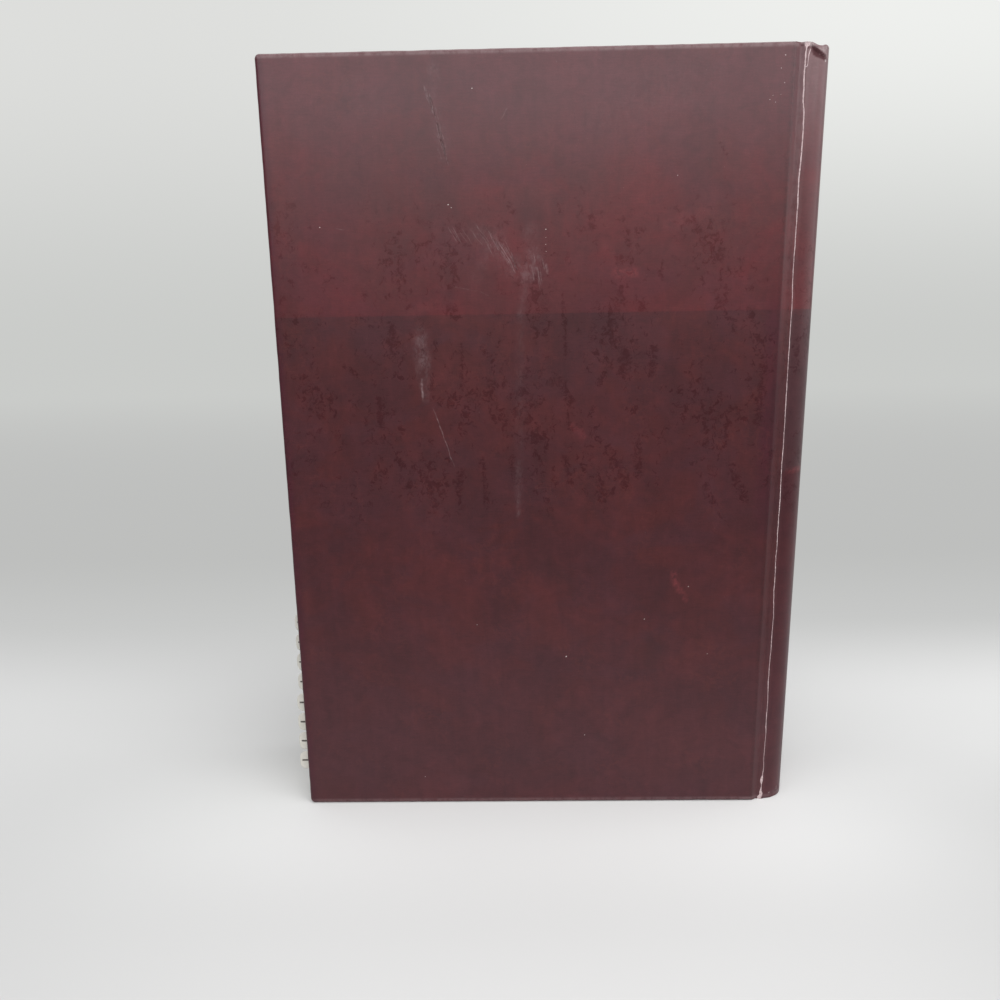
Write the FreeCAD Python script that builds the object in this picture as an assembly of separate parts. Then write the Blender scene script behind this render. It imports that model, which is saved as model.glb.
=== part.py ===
import FreeCAD, Part
import math
import os

# A case-bound book that stands on its tail, closed.
# X runs from the fore-edge to the spine, Y from the back cover to the front cover, Z up.
# Everything is laid out from the back cover's lower fore-edge corner, and moved at the end
# so that the origin lies at the bottom centre of the whole book. Lengths are millimetres.

# Case: two boards and a spine strip inside one covering sheet
CASE_HEIGHT = 240.0
FORE_EDGE_TO_SPLIT = 157.6
BOARD_THICKNESS = 2.6
BOARD_CORNER = 1.2
BOARD_EASE = 0.6
COVERING = 0.3
TURN_IN = 15.0

# Joint: the groove between a board and the spine, and the split in the covering
JOINT_WIDTH = 3.2
JOINT_DEPTH = 1.2
SPLIT_GAP = 0.3

# Spine, as seen in section: a short strip, a rounded corner and a shallow arc
STRIP_LENGTH = 2.1
STRIP_SLOPE = math.radians(8.0)
SPINE_CORNER_RADIUS = 7.5
SPINE_CORNER_END = math.radians(74.0)
STIFFENER_THICKNESS = 1.0
HOLLOW = 0.6

# Bare spine beside the strips that run up it: stiffener, lining and head bands
BACK_STRIP_MARGIN = 0.95

# Endpapers
ENDPAPER = 0.15
PASTEDOWN_MARGIN = 3.5
COVER_CLEARANCE = 0.3

# Text block and what is glued to its back
BLOCK_THICKNESS = 34.0
SQUARE = 3.0
BLOCK_BACK_EDGE = 5.0
MULL = 0.3
MULL_INSET = 15.0
MULL_WRAP = 4.0
LINING = 0.3
LINING_INSET = 2.0
LINING_GLUE = 0.05
BAND_RADIUS = 1.1
BAND_TAPE = 12.0

# Index tabs on the fore-edge, from the tail up
TAB_COUNT = 31
TAB_GAP = 0.6
LOWEST_TAB = 10.8
TAB_HEAD_MARGIN = 3.0
TAB_REACH = 7.0
TAB_ROOT = 5.0
TAB_THICKNESS = 0.5
TAB_CORNER = 2.0
FIRST_TAB_DEPTH = 0.5
TAB_STEP = 0.3
SECTION_TABS = 4
SECTION_STEP = 0.9
SECTION_GROWTH = 1.5

# Places that follow from the sizes above
BOARD_EDGE_X = FORE_EDGE_TO_SPLIT - JOINT_WIDTH
BOARD_INNER_Y = COVERING + BOARD_THICKNESS
TURN_IN_Y = BOARD_INNER_Y + COVERING
COVER_INNER_Y = TURN_IN_Y + ENDPAPER
FLYLEAF_Y = COVER_INNER_Y + COVER_CLEARANCE
BLOCK_Y = FLYLEAF_Y + ENDPAPER
MIDDLE_Y = BLOCK_Y + BLOCK_THICKNESS / 2
CASE_THICKNESS = 2 * MIDDLE_Y
BLOCK_TAIL = SQUARE
BLOCK_HEAD = CASE_HEIGHT - SQUARE
TAB_PITCH = (BLOCK_HEAD - TAB_HEAD_MARGIN - LOWEST_TAB) / TAB_COUNT
REACH = 2 * CASE_HEIGHT

SPLIT_X = FORE_EDGE_TO_SPLIT + SPLIT_GAP / 2
STRIP_END_X = SPLIT_X + STRIP_LENGTH * math.cos(STRIP_SLOPE)
STRIP_END_Y = JOINT_DEPTH + STRIP_LENGTH * math.sin(STRIP_SLOPE)
CORNER_X = STRIP_END_X - SPINE_CORNER_RADIUS * math.sin(STRIP_SLOPE)
CORNER_Y = STRIP_END_Y + SPINE_CORNER_RADIUS * math.cos(STRIP_SLOPE)
ARC_HALF = MIDDLE_Y - CORNER_Y + SPINE_CORNER_RADIUS * math.cos(SPINE_CORNER_END)
SPINE_RADIUS = ARC_HALF / math.cos(SPINE_CORNER_END)
SPINE_CENTRE_X = CORNER_X - (SPINE_RADIUS - SPINE_CORNER_RADIUS) * math.sin(SPINE_CORNER_END)
SPINE_APEX_X = SPINE_CENTRE_X + SPINE_RADIUS
STRIP_HALF_TURN = math.asin((ARC_HALF - BACK_STRIP_MARGIN) / SPINE_RADIUS)
BACK_RADIUS = SPINE_RADIUS - COVERING - STIFFENER_THICKNESS - HOLLOW - LINING - LINING_GLUE - MULL
EDGE_Y = BLOCK_Y + BLOCK_BACK_EDGE
EDGE_END = math.acos((MIDDLE_Y - EDGE_Y) / (BACK_RADIUS - BLOCK_BACK_EDGE))
EDGE_X = SPINE_CENTRE_X + (BACK_RADIUS - BLOCK_BACK_EDGE) * math.sin(EDGE_END)


def point(x, y, z=0.0):
    return FreeCAD.Vector(x, y, z)


def box(low, high):
    sides = [b - a for a, b in zip(low, high)]
    return Part.makeBox(sides[0], sides[1], sides[2], point(low[0], low[1], low[2]))


def prism(edges, bottom, top):
    face = Part.Face(Part.Wire(edges))
    face.translate(point(0, 0, bottom))
    return face.extrude(point(0, 0, top - bottom))


def mirrored(shape):
    return shape.mirror(point(0, MIDDLE_Y, 0), point(0, 1, 0))


# A point on the round corner or arc of the spine's section, where the section has this slope
def on_round(centre_x, centre_y, radius, slope):
    return point(centre_x + radius * math.sin(slope), centre_y - radius * math.cos(slope))


def round_edge(centre_x, centre_y, radius, start, end):
    angles = [start, (start + end) / 2, end]
    points = [on_round(centre_x, centre_y, radius, angle) for angle in angles]
    return Part.Arc(points[0], points[1], points[2]).toShape()


# The spine's section at a depth below its outer face, from the back split to the front one
def spine_section(depth):
    split = point(SPLIT_X - depth * math.sin(STRIP_SLOPE), JOINT_DEPTH + depth * math.cos(STRIP_SLOPE))
    radius = SPINE_CORNER_RADIUS - depth
    strip = Part.LineSegment(split, on_round(CORNER_X, CORNER_Y, radius, STRIP_SLOPE)).toShape()
    corner = round_edge(CORNER_X, CORNER_Y, radius, STRIP_SLOPE, SPINE_CORNER_END)
    back = round_edge(SPINE_CENTRE_X, MIDDLE_Y, SPINE_RADIUS - depth,
                      SPINE_CORNER_END, math.pi - SPINE_CORNER_END)
    return [strip, corner, back, mirrored(corner), mirrored(strip)]


def spine_band(outer_depth, inner_depth, bottom, top):
    outer = spine_section(outer_depth)
    inner = spine_section(inner_depth)
    near_end = Part.LineSegment(outer[0].Vertexes[0].Point, inner[0].Vertexes[0].Point).toShape()
    far_end = mirrored(near_end)
    edges = Part.__sortEdges__(outer + inner + [near_end, far_end])
    return prism(edges, bottom, top)


# A strip up the spine between two radii of its shallow arc, with square ends
def back_strip(outer_radius, inner_radius, bottom, top):
    start = math.pi / 2 - STRIP_HALF_TURN
    end = math.pi / 2 + STRIP_HALF_TURN
    outer = round_edge(SPINE_CENTRE_X, MIDDLE_Y, outer_radius, start, end)
    inner = round_edge(SPINE_CENTRE_X, MIDDLE_Y, inner_radius, start, end)
    ends = [Part.LineSegment(on_round(SPINE_CENTRE_X, MIDDLE_Y, outer_radius, slope),
                             on_round(SPINE_CENTRE_X, MIDDLE_Y, inner_radius, slope)).toShape()
            for slope in (start, end)]
    return prism(Part.__sortEdges__([outer, inner] + ends), bottom, top)


# The back board, grown on every covered side by the thickness of what wraps it
def board_slab(grow):
    low = (COVERING - grow, COVERING - grow, COVERING - grow)
    high = (BOARD_EDGE_X + grow, BOARD_INNER_Y + grow, CASE_HEIGHT - COVERING + grow)
    slab = box(low, high)
    corners = [e for e in slab.Edges if e.BoundBox.XMax < low[0] + grow + COVERING / 2
               and e.BoundBox.YLength > BOARD_THICKNESS / 2]
    slab = slab.makeFillet(BOARD_CORNER + grow, corners)
    outer_edges = [e for e in slab.Edges if e.BoundBox.YMax < low[1] + COVERING / 2]
    return slab.makeFillet(BOARD_EASE + grow, outer_edges)


# The covering from the board's edge into the joint: an S of two arcs, then flat to the split
def joint_band(outer_depth, inner_depth, bottom, top):
    radius = BOARD_EASE + COVERING
    start_x = BOARD_EDGE_X - BOARD_EASE
    turn = math.acos(1 - JOINT_DEPTH / (2 * radius))
    foot_x = start_x + 2 * radius * math.sin(turn)
    end_x = FORE_EDGE_TO_SPLIT - SPLIT_GAP / 2
    runs = []
    for depth in (outer_depth, inner_depth):
        drop = round_edge(start_x, radius, radius - depth, 0, turn)
        rise = round_edge(foot_x, JOINT_DEPTH - radius, -radius - depth, 0, turn)
        flat = Part.LineSegment(point(foot_x, JOINT_DEPTH + depth), point(end_x, JOINT_DEPTH + depth))
        runs += [drop, rise, flat.toShape()]
    ends = [Part.LineSegment(point(start_x, outer_depth), point(start_x, inner_depth)),
            Part.LineSegment(point(end_x, JOINT_DEPTH + outer_depth),
                             point(end_x, JOINT_DEPTH + inner_depth))]
    edges = Part.__sortEdges__(runs + [end.toShape() for end in ends])
    return prism(edges, bottom, top)


def cover_sheet(board):
    wrap = board_slab(COVERING).cut(board)
    window = box((TURN_IN, BOARD_INNER_Y, TURN_IN), (REACH, REACH, CASE_HEIGHT - TURN_IN))
    leaves_board = box((BOARD_EDGE_X, JOINT_DEPTH / 2, -REACH), (REACH, REACH, REACH))
    sheet = wrap.cut([window, leaves_board])
    sheet = sheet.fuse(joint_band(0, COVERING, 0, CASE_HEIGHT))
    for bottom in (0, CASE_HEIGHT - TURN_IN):
        folded = joint_band(COVERING, 2 * COVERING, bottom, bottom + TURN_IN)
        sheet = sheet.fuse(folded.cut(board_slab(COVERING)))
    return sheet.removeSplitter()


# The endpaper's glued half: it lies over the turn-ins and dips onto the bare board between them
def pastedown():
    margin = PASTEDOWN_MARGIN
    sheet = box((margin, BOARD_INNER_Y, margin), (BOARD_EDGE_X, COVER_INNER_Y, CASE_HEIGHT - margin))
    raised = box((0, BOARD_INNER_Y, 0), (BOARD_EDGE_X, TURN_IN_Y, CASE_HEIGHT))
    bare = box((TURN_IN, 0, TURN_IN), (REACH, REACH, CASE_HEIGHT - TURN_IN))
    dip = box((TURN_IN + ENDPAPER, BOARD_INNER_Y + ENDPAPER, TURN_IN + ENDPAPER),
              (REACH, REACH, CASE_HEIGHT - TURN_IN - ENDPAPER))
    return sheet.cut([raised.cut(bare), dip])


# The endpaper's free half, which ends where the mull begins
def flyleaf():
    return box((SQUARE, FLYLEAF_Y, BLOCK_TAIL), (EDGE_X - MULL_WRAP, BLOCK_Y, BLOCK_HEAD))


# The covering at the spine: it is folded in over the stiffener's head and tail
def spine_sheet():
    sheet = spine_band(0, COVERING, 0, CASE_HEIGHT)
    outer = SPINE_RADIUS - COVERING
    inner = outer - STIFFENER_THICKNESS
    for bottom in (0, CASE_HEIGHT - TURN_IN):
        top = bottom + TURN_IN
        cap_bottom = bottom if bottom == 0 else CASE_HEIGHT - COVERING
        doubled = spine_band(COVERING, 2 * COVERING, bottom, top)
        doubled = doubled.cut(back_strip(outer, outer - COVERING, bottom, top))
        cap = back_strip(outer, inner, cap_bottom, cap_bottom + COVERING)
        flap = back_strip(inner, inner - COVERING, bottom, top)
        sheet = sheet.fuse([doubled, cap, flap])
    return sheet.removeSplitter()


def spine_stiffener():
    outer = SPINE_RADIUS - COVERING
    return back_strip(outer, outer - STIFFENER_THICKNESS, COVERING, CASE_HEIGHT - COVERING)


# How far the round back, and the hollow fore-edge, depart from their chord at this place
def rounding(y):
    half = BLOCK_THICKNESS / 2
    return math.sqrt(BACK_RADIUS ** 2 - (y - MIDDLE_Y) ** 2) - math.sqrt(BACK_RADIUS ** 2 - half ** 2)


def fore_edge_x(y):
    return SQUARE + rounding(y)


# The block's back in section, grown outwards: face, rounded edge, shallow arc, edge, face
def back_section(start_x, grow):
    radius = BLOCK_BACK_EDGE + grow
    face_end = point(EDGE_X, BLOCK_Y - grow)
    face = Part.LineSegment(point(start_x, BLOCK_Y - grow), face_end).toShape()
    edge = round_edge(EDGE_X, EDGE_Y, radius, 0, EDGE_END)
    back = round_edge(SPINE_CENTRE_X, MIDDLE_Y, BACK_RADIUS + grow, EDGE_END, math.pi - EDGE_END)
    return [face, edge, back, mirrored(edge), mirrored(face)]


# The leaves as one solid: a rounded back, and a fore-edge hollowed by the same round
def leaves():
    low = point(SQUARE, BLOCK_Y)
    high = point(SQUARE, BLOCK_Y + BLOCK_THICKNESS)
    fore_edge = Part.Arc(low, point(fore_edge_x(MIDDLE_Y), MIDDLE_Y), high).toShape()
    edges = Part.__sortEdges__(back_section(SQUARE, 0) + [fore_edge])
    return prism(edges, BLOCK_TAIL, BLOCK_HEAD)


# Cloth glued over the round back and onto the first of each face
def spine_mull():
    start_x = EDGE_X - MULL_WRAP
    near_end = Part.LineSegment(point(start_x, BLOCK_Y), point(start_x, BLOCK_Y - MULL)).toShape()
    edges = back_section(start_x, 0) + back_section(start_x, MULL) + [near_end, mirrored(near_end)]
    return prism(Part.__sortEdges__(edges), BLOCK_TAIL + MULL_INSET, BLOCK_HEAD - MULL_INSET)


def spine_lining():
    inner = BACK_RADIUS + MULL + LINING_GLUE
    return back_strip(inner + LINING, inner, BLOCK_TAIL + LINING_INSET, BLOCK_HEAD - LINING_INSET)


def head_band():
    outer = BACK_RADIUS + MULL
    tape = back_strip(outer, BACK_RADIUS, BLOCK_HEAD - BAND_TAPE, BLOCK_HEAD + BAND_RADIUS)
    ring = outer - BAND_RADIUS
    half_turn = math.degrees(STRIP_HALF_TURN)
    bead_centre = point(SPINE_CENTRE_X + ring, MIDDLE_Y, BLOCK_HEAD + BAND_RADIUS)
    disc = Part.Face(Part.Wire(Part.makeCircle(BAND_RADIUS, bead_centre, point(0, 1, 0))))
    axis_foot = point(SPINE_CENTRE_X, MIDDLE_Y, 0)
    disc.rotate(axis_foot, point(0, 0, 1), -half_turn)
    bead = disc.revolve(axis_foot, point(0, 0, 1), 2 * half_turn)
    return bead.fuse(tape).removeSplitter()


# Depth in the block of each tab's leaf: small steps within a section, longer ones between them
def tab_y(index):
    section = index // SECTION_TABS
    depth = FIRST_TAB_DEPTH + TAB_STEP * index + SECTION_STEP * section ** SECTION_GROWTH
    return BLOCK_Y + depth


def index_tab(index):
    y = tab_y(index)
    edge_x = fore_edge_x(y)
    bottom = LOWEST_TAB + TAB_PITCH * index + TAB_GAP / 2
    top = bottom + TAB_PITCH - TAB_GAP
    tab = box((edge_x - TAB_REACH, y - TAB_THICKNESS / 2, bottom),
              (edge_x + TAB_ROOT, y + TAB_THICKNESS / 2, top))
    corners = [e for e in tab.Edges if e.BoundBox.XMax < edge_x and e.BoundBox.ZLength < TAB_GAP
               and e.BoundBox.YLength > TAB_THICKNESS / 2]
    return tab.makeFillet(TAB_CORNER, corners)


def build():
    nodes = {}
    board = board_slab(0)
    covers = {"board": board, "cover_sheet": cover_sheet(board), "pastedown": pastedown()}
    covers["flyleaf"] = flyleaf()
    for name, shape in covers.items():
        nodes["back_" + name] = shape
        nodes["front_" + name] = mirrored(shape)
    nodes["spine_cover_sheet"] = spine_sheet()
    nodes["spine_stiffener"] = spine_stiffener()

    tabs = [index_tab(index) for index in range(TAB_COUNT)]
    nodes["text_block"] = leaves().cut(tabs)
    nodes["spine_mull"] = spine_mull()
    nodes["spine_lining"] = spine_lining()
    band = head_band()
    nodes["head_band"] = band
    nodes["tail_band"] = band.mirror(point(0, 0, CASE_HEIGHT / 2), point(0, 0, 1))
    for index, tab in enumerate(tabs):
        nodes["index_tab_%02d" % (index + 1)] = tab
    return nodes


def main():
    nodes = build()
    fore_edge_end = min(fore_edge_x(tab_y(index)) - TAB_REACH for index in range(TAB_COUNT))
    to_origin = point(-(fore_edge_end + SPINE_APEX_X) / 2, -MIDDLE_Y, 0)
    os.makedirs("parts", exist_ok=True)
    for name, shape in nodes.items():
        solid = shape.Solids[0]
        solid.translate(to_origin)
        solid.exportStep("parts/%s.step" % name)
        print(name, len(shape.Solids), round(solid.Volume, 1), solid.isValid())
    print("origin shift", to_origin)


main()
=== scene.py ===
import math
import random
import bmesh
import bpy
import numpy as np
from mathutils import Matrix, Vector, noise


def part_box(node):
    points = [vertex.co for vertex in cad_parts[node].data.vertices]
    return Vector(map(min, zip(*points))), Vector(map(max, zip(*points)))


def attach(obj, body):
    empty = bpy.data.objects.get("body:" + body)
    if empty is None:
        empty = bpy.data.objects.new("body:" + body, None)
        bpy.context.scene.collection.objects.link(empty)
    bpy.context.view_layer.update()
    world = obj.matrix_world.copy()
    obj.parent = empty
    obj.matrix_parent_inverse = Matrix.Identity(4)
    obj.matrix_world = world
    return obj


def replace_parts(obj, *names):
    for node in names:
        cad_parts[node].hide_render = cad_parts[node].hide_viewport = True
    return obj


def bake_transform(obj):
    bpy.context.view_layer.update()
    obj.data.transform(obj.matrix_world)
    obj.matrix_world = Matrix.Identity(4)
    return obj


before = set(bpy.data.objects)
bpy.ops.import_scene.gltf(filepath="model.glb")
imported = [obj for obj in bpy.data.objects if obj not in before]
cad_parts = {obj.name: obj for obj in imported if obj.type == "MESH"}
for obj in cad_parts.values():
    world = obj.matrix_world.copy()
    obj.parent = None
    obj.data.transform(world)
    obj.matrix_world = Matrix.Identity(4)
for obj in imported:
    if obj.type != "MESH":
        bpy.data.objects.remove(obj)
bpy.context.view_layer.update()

# Lengths are millimetres from the back cover's lower fore-edge corner, as in the part's source.
HEIGHT = 240.0
THICKNESS = 41.6
MIDDLE = THICKNESS / 2
SPLIT = 157.6
BOARD_EDGE = 154.4
CORNER = 1.5
EASE = 0.9
SHEET = 0.3
TURN_IN = 15.0
INNER_FACE = 3.2
JOINT_DEPTH = 1.2
JOINT_FALL = math.radians(34)
STRIP_START = 157.75
STRIP_SLOPE = math.radians(8.0)
STRIP_END = (159.82956, 1.49226)
CORNER_CENTRE = (158.78576, 8.91927)
CORNER_RADIUS = 7.5
CORNER_END = math.radians(74.0)
ARC_CENTRE = 117.35275
ARC_RADIUS = 50.60274
STIFFENER_TURN = math.radians(14.884)
SEAM = 150.0
STRIP_SEAM = 159.3
MM = 0.001

low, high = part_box("back_board")
SHIFT = Vector((low.x - 0.0003, low.y - 0.0003, 0.0))


def place(points):
    """Layout millimetres to the row frame in metres."""
    return np.asarray(points, float).reshape(-1, 3) * MM + np.array(SHIFT)


def make(name, points, faces, uv=None, materials=(), face_material=None, smooth=True):
    """A mesh from points and paper coordinates in millimetres."""
    mesh = bpy.data.meshes.new(name)
    mesh.from_pydata(place(points).tolist(), [], [list(map(int, f)) for f in faces])
    if uv is not None:
        flat = np.asarray(uv, float).reshape(-1, 2) * MM
        layer = mesh.uv_layers.new(name="UVMap")
        index = np.zeros(len(mesh.loops), int)
        mesh.loops.foreach_get("vertex_index", index)
        layer.data.foreach_set("uv", flat[index].ravel())
    for material in materials:
        mesh.materials.append(material)
    if face_material is not None:
        mesh.polygons.foreach_set("material_index", np.asarray(face_material, int))
    mesh.polygons.foreach_set("use_smooth", [smooth] * len(mesh.polygons))
    mesh.validate()
    shell = bmesh.new()
    shell.from_mesh(mesh)
    bmesh.ops.recalc_face_normals(shell, faces=shell.faces)
    shell.to_mesh(mesh)
    shell.free()
    mesh.update()
    obj = bpy.data.objects.new(name, mesh)
    bpy.context.scene.collection.objects.link(obj)
    return obj


def grid_faces(rows, columns, start=0, wrap=False):
    faces = []
    last = columns if wrap else columns - 1
    for i in range(rows - 1):
        for j in range(last):
            a = start + i * columns + j
            b = start + i * columns + (j + 1) % columns
            faces.append((a, b, b + columns, a + columns))
    return faces


def closed_faces(rows, columns, start=0):
    """A tube of these rows, with both ends closed."""
    last = start + (rows - 1) * columns
    return grid_faces(rows, columns, start, wrap=True) + [
        tuple(range(start, start + columns)), tuple(range(last, last + columns))]


def wobble(x, z, size, seed):
    return noise.noise(Vector((x / size, z / size, seed)))


def ramp(x, a, b):
    """A smooth step from 0 at a to 1 at b."""
    t = min(max((x - a) / (b - a), 0.0), 1.0)
    return t * t * (3 - 2 * t)


def steps(a, b, count):
    return [a + (b - a) * i / count for i in range(count + 1)]


# ------------------------------------------------------------- covering
def fold(depth, outer, inner):
    """Points over a folded edge as (distance from the edge, depth), from the outer face in."""
    points = []
    quarter = steps(0, math.pi / 2, 5)
    for angle in quarter:
        points.append((outer * (1 - math.sin(angle)), outer * (1 - math.cos(angle))))
    for angle in quarter:
        points.append((inner * (1 - math.cos(angle)), depth - inner * (1 - math.sin(angle))))
    return points


def outer_path():
    """Samples (x, y, slope, run, inner x, inner y, fold) of the covering's outer face, back to front."""
    samples = []

    def sample(x, y, slope, doubled, inner=None, ease=None):
        if samples:
            run = samples[-1][3] + math.hypot(x - samples[-1][0], y - samples[-1][1])
        else:
            run = x
        if inner is None:
            inner = (x - doubled * math.sin(slope), y + doubled * math.cos(slope))
        samples.append((x, y, slope, run, inner[0], inner[1], ease or min(doubled / 2, 0.4)))

    for x in (SEAM, 151.0, 152.0, 153.0, BOARD_EDGE - 0.6):
        sample(x, 0.0, 0.0, INNER_FACE, ease=EASE)
    # The paper eases down from the board into the joint
    eased = (EASE * math.sin(JOINT_FALL), EASE * (1 - math.cos(JOINT_FALL)))
    sloped = (JOINT_DEPTH - 2 * eased[1]) / math.tan(JOINT_FALL)
    first, foot = BOARD_EDGE - 0.6, BOARD_EDGE - 0.6 + 2 * eased[0] + sloped
    fall = [(first + EASE * math.sin(a), EASE - EASE * math.cos(a), a)
            for a in steps(0, JOINT_FALL, 3)[1:]]
    fall.append((first + eased[0] + sloped / 2, JOINT_DEPTH / 2, JOINT_FALL))
    fall += [(foot - EASE * math.sin(a), JOINT_DEPTH - EASE + EASE * math.cos(a), a)
             for a in steps(JOINT_FALL, 0, 3)[:-1]]
    inner_edge = [(154.1, 3.2), (154.35, 3.15), (154.55, 2.9), (154.6, 2.5), (154.7, 2.15), (154.85, 1.95),
                  (155.1, 1.82)]
    for number, ((x, y, angle), inner) in enumerate(zip(fall, inner_edge)):
        sample(x, y, angle, 0.6, inner, EASE - 0.15 * number if number < 4 else None)
    for x in (foot, 156.3, 156.5, 156.85, 157.1, 157.2, 157.6, 157.9):
        sample(x, JOINT_DEPTH, 0.0 if x < 157.7 else STRIP_SLOPE, 0.6)
    for t in steps(0.15, 1.0, 3):
        x = STRIP_START + (STRIP_END[0] - STRIP_START) * t
        sample(x, JOINT_DEPTH + (STRIP_END[1] - JOINT_DEPTH) * t, STRIP_SLOPE, 0.6)
    for angle in steps(STRIP_SLOPE, CORNER_END, 11)[1:]:
        sample(CORNER_CENTRE[0] + CORNER_RADIUS * math.sin(angle),
               CORNER_CENTRE[1] - CORNER_RADIUS * math.cos(angle), angle, 0.6)
    for angle in steps(CORNER_END, math.pi / 2, 10)[1:]:
        off = abs(angle - math.pi / 2)
        doubled = 0.6 + 1.0 * ramp(off, STIFFENER_TURN + 0.012, STIFFENER_TURN - 0.012)
        sample(ARC_CENTRE + ARC_RADIUS * math.sin(angle), MIDDLE - ARC_RADIUS * math.cos(angle), angle, doubled)
    return samples


def mirror_sample(item):
    """The front cover's sample for one of the back cover's."""
    x, y, slope, run, inner_x, inner_y, ease = item
    return (x, THICKNESS - y, math.pi - slope, TOTAL_RUN - run, inner_x, THICKNESS - inner_y, ease)


half = outer_path()
HALF_RUN = half[-1][3]
TOTAL_RUN = 2 * HALF_RUN
CRACK_RUN = next(item[3] for item in half if abs(item[0] - SPLIT) < 1e-6)
seam_index = min(range(len(half)), key=lambda i: abs(half[i][0] - STRIP_SEAM))


# ------------------------------------------------------------- materials
class Nodes:
    """A short way to write a material's node tree."""

    def __init__(self, name):
        self.material = bpy.data.materials.new(name)
        self.material.use_nodes = True
        self.tree = self.material.node_tree
        self.tree.nodes.clear()

    def fill(self, node, inputs):
        """Links or sets each input, given by its number or name."""
        for key, value in inputs.items():
            if isinstance(value, bpy.types.NodeSocket):
                self.tree.links.new(value, node.inputs[key])
            else:
                node.inputs[key].default_value = value
        return node

    def add(self, kind, inputs=None, output=0, **settings):
        node = self.tree.nodes.new(kind)
        for key, value in settings.items():
            setattr(node, key, value)
        return self.fill(node, inputs or {}).outputs[output]

    def math(self, operation, a, b=0.0, c=0.0, clamp=False):
        return self.add("ShaderNodeMath", {0: a, 1: b, 2: c}, operation=operation, use_clamp=clamp)

    def times(self, first, *others):
        for other in others:
            first = self.math("MULTIPLY", first, other)
        return first

    def most(self, first, *others):
        for other in others:
            first = self.math("MAXIMUM", first, other)
        return first

    def linear(self, value, slope, offset, clamp=False):
        return self.math("MULTIPLY_ADD", value, slope, offset, clamp)

    def step(self, value, low, high):
        """A smooth step from 0 at low to 1 at high, and falling where low is the larger."""
        return self.add("ShaderNodeMapRange", {0: value, 1: low, 2: high}, interpolation_type="SMOOTHSTEP")

    def window(self, value, a, b, c, d):
        """Two smooth steps, from a to b and from c to d, multiplied."""
        return self.times(self.step(value, a, b), self.step(value, c, d))

    def mix(self, factor, a, b, blend="MIX"):
        return self.add("ShaderNodeMix", {0: factor, 6: a, 7: b}, 2, data_type="RGBA", blend_type=blend)

    def over(self, under, paint, amount, strength=None):
        """Paint, as (red, green, blue), laid over the colour under it."""
        if strength is not None:
            amount = self.times(amount, strength)
        return self.mix(amount, under, (*paint, 1))

    def vector(self, operation, a, b, output=0):
        return self.add("ShaderNodeVectorMath", {0: a, 1: b}, output, operation=operation)

    def stretch(self, vector, scale):
        return self.vector("MULTIPLY", vector, scale)

    def axes(self, vector):
        return self.fill(self.tree.nodes.new("ShaderNodeSeparateXYZ"), {0: vector}).outputs

    def noise(self, vector, scale, detail=2.0, rough=0.5, distortion=0.0, output=0):
        return self.add("ShaderNodeTexNoise", {"Vector": vector, "Scale": scale, "Detail": detail,
                        "Roughness": rough, "Distortion": distortion}, output)

    def streaks(self, vector, scale, *settings):
        """Noise with its own scale across and up."""
        return self.noise(self.stretch(vector, (*scale, 0.0)), 1.0, *settings)

    def bump(self, height, strength, distance):
        return self.add("ShaderNodeBump", {"Strength": strength, "Distance": distance, "Height": height})

    def surface(self, **inputs):
        shader = self.tree.nodes.new("ShaderNodeBsdfPrincipled")
        self.fill(shader, {key.replace("_", " "): value for key, value in inputs.items()})
        self.fill(self.tree.nodes.new("ShaderNodeOutputMaterial"), {0: shader.outputs[0]})
        return self.material


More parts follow.
